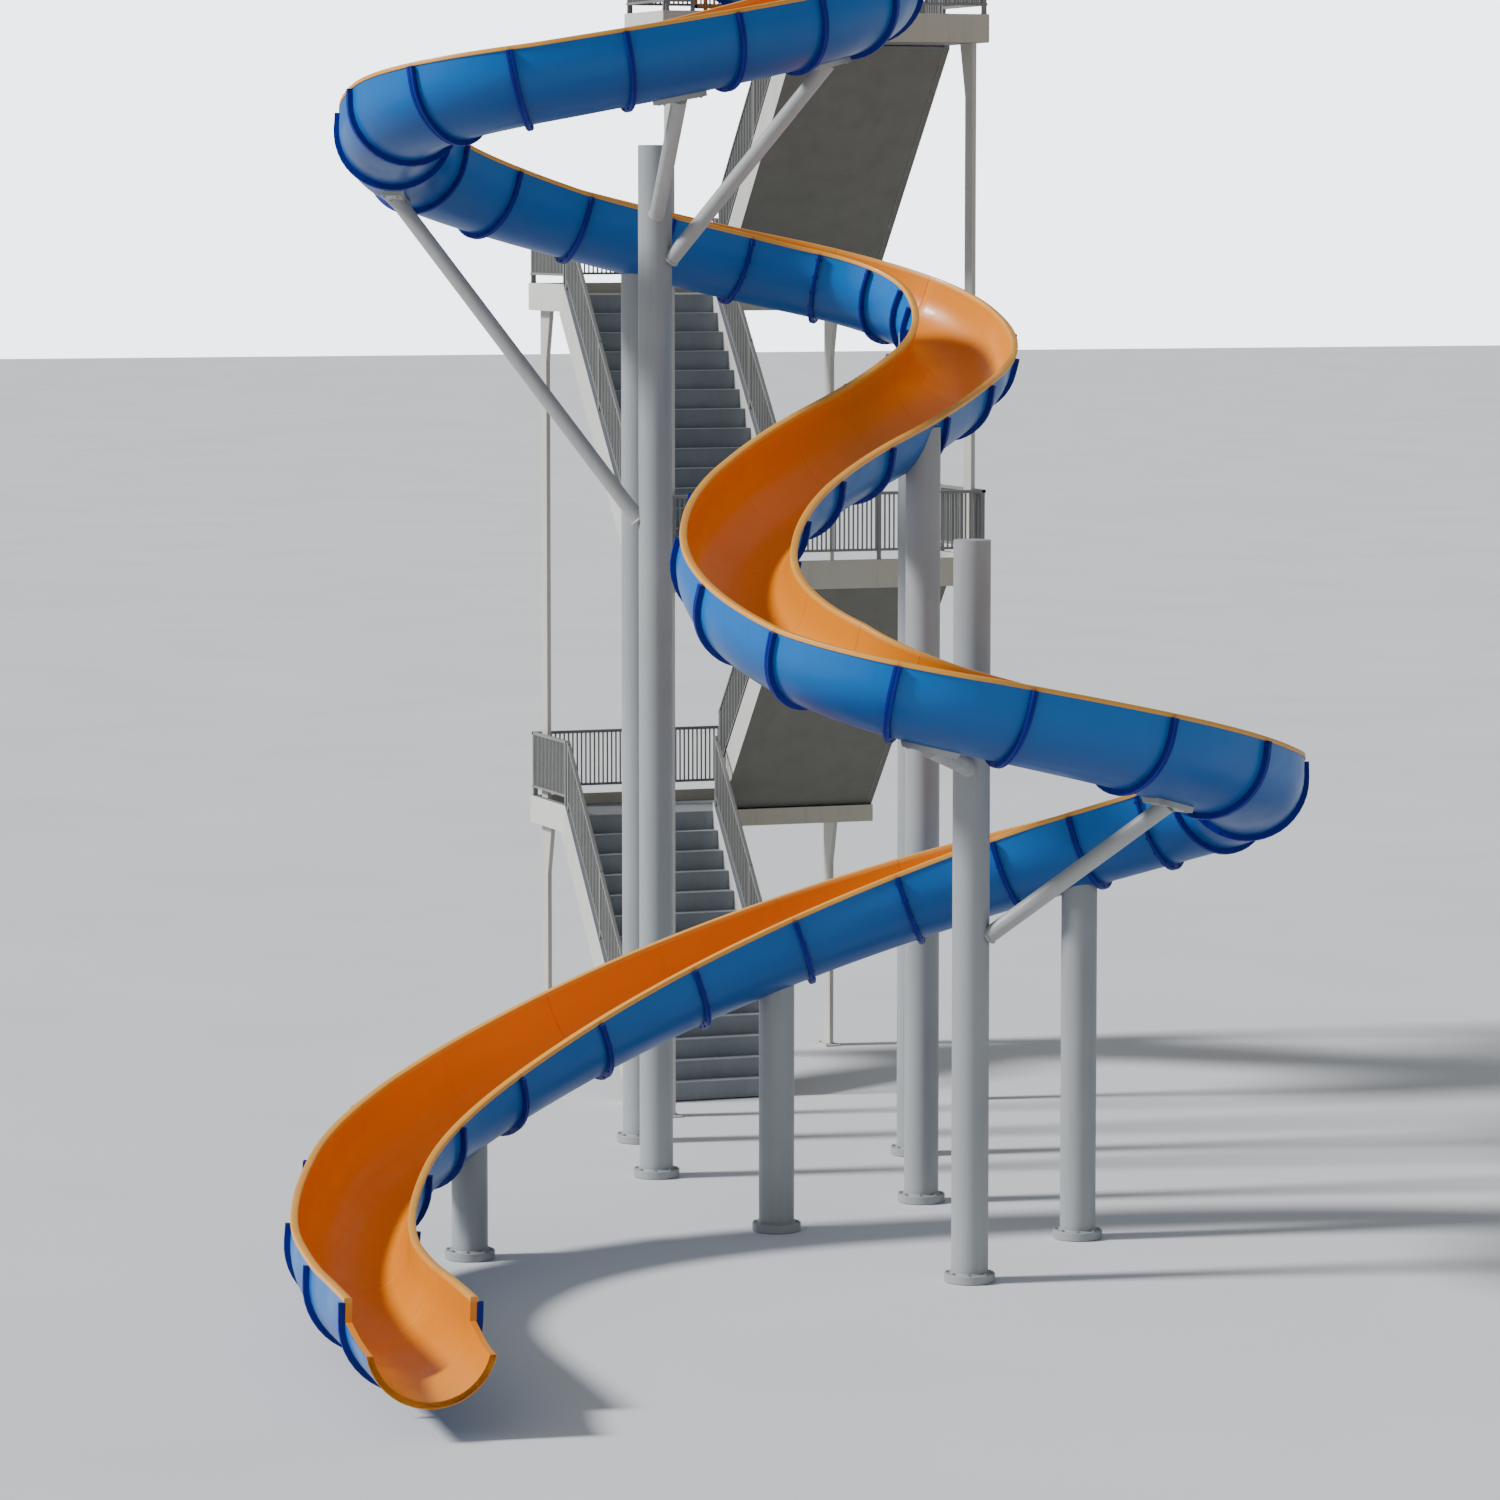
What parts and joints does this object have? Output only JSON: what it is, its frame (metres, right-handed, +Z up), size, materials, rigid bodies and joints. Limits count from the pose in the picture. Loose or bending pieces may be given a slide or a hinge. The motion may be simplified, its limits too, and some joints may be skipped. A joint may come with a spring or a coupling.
{
  "type": "pool slide",
  "caption": "Tall open slide channel that winds down on round columns and inclined arms from a railed stair tower to a low run-out at the pool edge.",
  "frame": {"origin": "on the deck at the plan centre of the stair tower", "axes": "+X to the right along the tower's width, +Y away from the pool, +Z up"},
  "size_m": [9.6163, 16.6262, 11.605],
  "materials": {
    "flume_blue": "smooth moulded gel coat",
    "exit_orange": "smooth moulded gel coat",
    "column_paint": "satin paint",
    "arm_paint": "satin paint",
    "tower_paint": "satin paint",
    "post_paint": "satin paint",
    "stair_paint": "matt non-slip coating",
    "rail_paint": "satin paint",
    "steel": "brushed",
    "gate_paint": "satin paint",
    "lever_red": "satin paint"
  },
  "bodies": {
    "slide": {"start_tub": "flume_blue", "flume_01": "flume_blue", "flume_02": "flume_blue", "flume_03": "flume_blue", "flume_04": "flume_blue", "flume_05": "flume_blue", "flume_06": "flume_blue", "flume_07": "flume_blue", "flume_08": "flume_blue", "flume_09": "flume_blue", "flume_10": "flume_blue", "flume_11": "flume_blue", "flume_12": "flume_blue", "flume_13": "flume_blue", "flume_14": "flume_blue", "flume_15": "flume_blue", "flume_exit": "exit_orange", "column_loop_upper": "column_paint", "column_run_behind": "column_paint", "column_front_left": "column_paint", "column_crossing": "column_paint", "column_loop_lower": "column_paint", "column_front_right": "column_paint", "column_run_out": "column_paint", "column_right_bend": "column_paint", "arm_left_bend": "arm_paint", "arm_upper_run": "arm_paint", "arm_first_bend": "arm_paint", "arm_front_bend": "arm_paint", "arm_front_run": "arm_paint", "landing_far_low": "tower_paint", "landing_near_mid": "tower_paint", "landing_far_upper": "tower_paint", "start_platform": "tower_paint", "post_near_left": "post_paint", "post_near_right": "post_paint", "post_far_left": "post_paint", "post_far_right": "post_paint", "flight_1": "stair_paint", "flight_2": "stair_paint", "flight_3": "stair_paint", "flight_4": "stair_paint", "rail_far_low": "rail_paint", "rail_near_mid": "rail_paint", "rail_far_upper": "rail_paint", "rail_platform_left": "rail_paint", "rail_platform_right": "rail_paint", "rail_flight_1_outer": "rail_paint", "rail_flight_1_inner": "rail_paint", "rail_flight_2_outer": "rail_paint", "rail_flight_2_inner": "rail_paint", "rail_flight_3_outer": "rail_paint", "rail_flight_3_inner": "rail_paint", "rail_flight_4_outer": "rail_paint", "rail_flight_4_inner": "rail_paint", "launch_bar": "steel", "water_inlet": "steel"},
    "gate": {"start_gate": "gate_paint"},
    "lever": {"valve_lever": "lever_red"}
  },
  "joints": [
    {"name": "gate_hinge", "type": "hinge", "parent": "slide", "child": "gate", "pos_m": [-1.27, -1.94, 10.5], "axis": [0, 0, 1], "range_deg": [0, 90]},
    {"name": "valve_turn", "type": "hinge", "parent": "slide", "child": "lever", "pos_m": [-0.22, -1.8217, 10.586], "axis": [0, 1, 0], "range_deg": [0, 90]}
  ]
}
